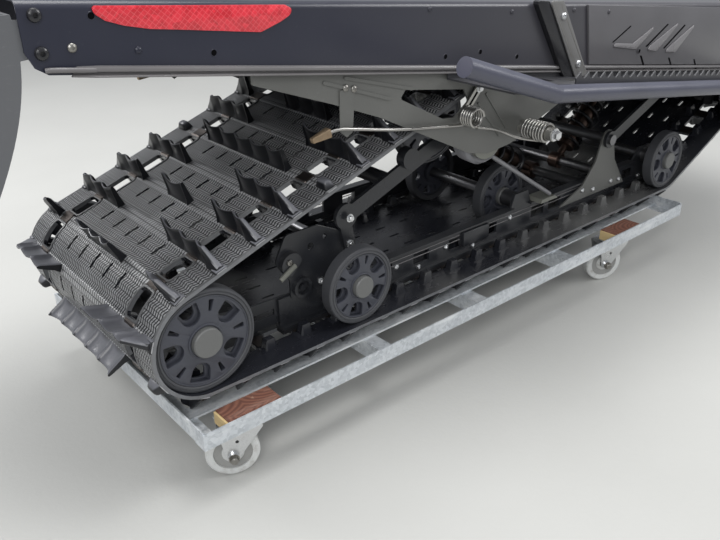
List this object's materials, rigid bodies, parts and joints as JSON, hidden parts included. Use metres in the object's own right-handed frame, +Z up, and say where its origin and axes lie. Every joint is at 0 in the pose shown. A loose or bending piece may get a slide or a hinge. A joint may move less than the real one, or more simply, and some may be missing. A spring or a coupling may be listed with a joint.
{
  "type": "snowmobile rear chassis with track and suspension",
  "caption": "Sheet-metal tunnel with running boards, rubber lugged track, slide-rail suspension and drive axle, standing on a steel dolly with swivel casters.",
  "frame": {"origin": "on the floor, under the middle of the bounding box", "axes": "+X towards the front of the vehicle, +Y to its left, +Z up"},
  "size_m": [2.09, 0.91, 0.783],
  "materials": {
    "track_rubber": "satin black moulded rubber",
    "wheel_black": "satin black moulded plastic with a rubber rim",
    "shaft_steel": "dark turned steel",
    "frame_black": "satin black powder coat",
    "slide_black": "matt black slippery plastic",
    "spring_black": "gloss black coated spring steel",
    "shock_metal": "dark bronze anodised",
    "sprocket_black": "matt black moulded plastic",
    "tunnel_black": "semi-gloss black paint on aluminium sheet",
    "flap_grey": "matt grey flexible plastic",
    "reflector_red": "red retroreflective film",
    "scratcher_steel": "dark zinc plated wire",
    "dolly_steel": "spangled galvanised steel",
    "block_wood": "worn reddish brown wood",
    "caster_steel": "bright zinc plated steel",
    "caster_tread": "pale grey worn plastic"
  },
  "bodies": {
    "chassis": {"track": "track_rubber", "rear_wheels": "wheel_black", "bogie_wheels": "wheel_black", "inner_wheels": "wheel_black", "front_wheels": "wheel_black", "carrier_wheels": "wheel_black", "rear_axle": "shaft_steel", "wheel_shafts": "shaft_steel", "arm_shafts": "shaft_steel", "cross_shafts": "shaft_steel", "drive_axle": "shaft_steel", "rail_left": "frame_black", "rail_right": "frame_black", "kick_rails": "frame_black", "pivot_plates": "frame_black", "rear_arm": "frame_black", "rear_links": "frame_black", "front_arm": "frame_black", "arm_cross_tubes": "frame_black", "rail_fins": "frame_black", "suspension_bracket_left": "frame_black", "suspension_bracket_right": "frame_black", "spring_seats": "frame_black", "slides": "slide_black", "torsion_springs": "spring_black", "shock_springs": "spring_black", "shock_absorbers": "shock_metal", "drive_sprockets": "sprocket_black", "tunnel": "tunnel_black", "tunnel_rails": "tunnel_black", "drive_plates": "tunnel_black", "footwell_panels": "tunnel_black", "running_board_left": "tunnel_black", "running_board_right": "tunnel_black", "board_tubes": "tunnel_black", "board_braces": "tunnel_black", "rear_flap": "flap_grey", "reflectors": "reflector_red", "scratchers": "scratcher_steel", "scratcher_mounts": "scratcher_steel", "dolly_side_rails": "dolly_steel", "dolly_cross_rails": "dolly_steel", "dolly_inner_bars": "dolly_steel", "dolly_blocks": "block_wood", "caster_plates": "caster_steel"},
    "swivel_rear_right": {"caster_fork_rear_right": "caster_steel"},
    "wheel_rear_right": {"caster_wheel_rear_right": "caster_tread"},
    "swivel_rear_left": {"caster_fork_rear_left": "caster_steel"},
    "wheel_rear_left": {"caster_wheel_rear_left": "caster_tread"},
    "swivel_front_right": {"caster_fork_front_right": "caster_steel"},
    "wheel_front_right": {"caster_wheel_front_right": "caster_tread"},
    "swivel_front_left": {"caster_fork_front_left": "caster_steel"},
    "wheel_front_left": {"caster_wheel_front_left": "caster_tread"}
  },
  "joints": [
    {"name": "swivel_rear_right", "type": "hinge", "parent": "chassis", "child": "swivel_rear_right", "pos_m": [-0.71, -0.268, 0.1027], "axis": [0, 0, 1], "continuous": true},
    {"name": "wheel_rear_right", "type": "hinge", "parent": "swivel_rear_right", "child": "wheel_rear_right", "pos_m": [-0.73719, -0.25532, 0.046], "axis": [0.4226, 0.9063, 0], "continuous": true},
    {"name": "swivel_rear_left", "type": "hinge", "parent": "chassis", "child": "swivel_rear_left", "pos_m": [-0.71, 0.268, 0.1027], "axis": [0, 0, 1], "continuous": true},
    {"name": "wheel_rear_left", "type": "hinge", "parent": "swivel_rear_left", "child": "wheel_rear_left", "pos_m": [-0.73719, 0.25532, 0.046], "axis": [-0.4226, 0.9063, 0], "continuous": true},
    {"name": "swivel_front_right", "type": "hinge", "parent": "chassis", "child": "swivel_front_right", "pos_m": [0.355, -0.268, 0.1027], "axis": [0, 0, 1], "continuous": true},
    {"name": "wheel_front_right", "type": "hinge", "parent": "swivel_front_right", "child": "wheel_front_right", "pos_m": [0.32781, -0.25532, 0.046], "axis": [0.4226, 0.9063, 0], "continuous": true},
    {"name": "swivel_front_left", "type": "hinge", "parent": "chassis", "child": "swivel_front_left", "pos_m": [0.355, 0.268, 0.1027], "axis": [0, 0, 1], "continuous": true},
    {"name": "wheel_front_left", "type": "hinge", "parent": "swivel_front_left", "child": "wheel_front_left", "pos_m": [0.32781, 0.25532, 0.046], "axis": [-0.4226, 0.9063, 0], "continuous": true}
  ]
}
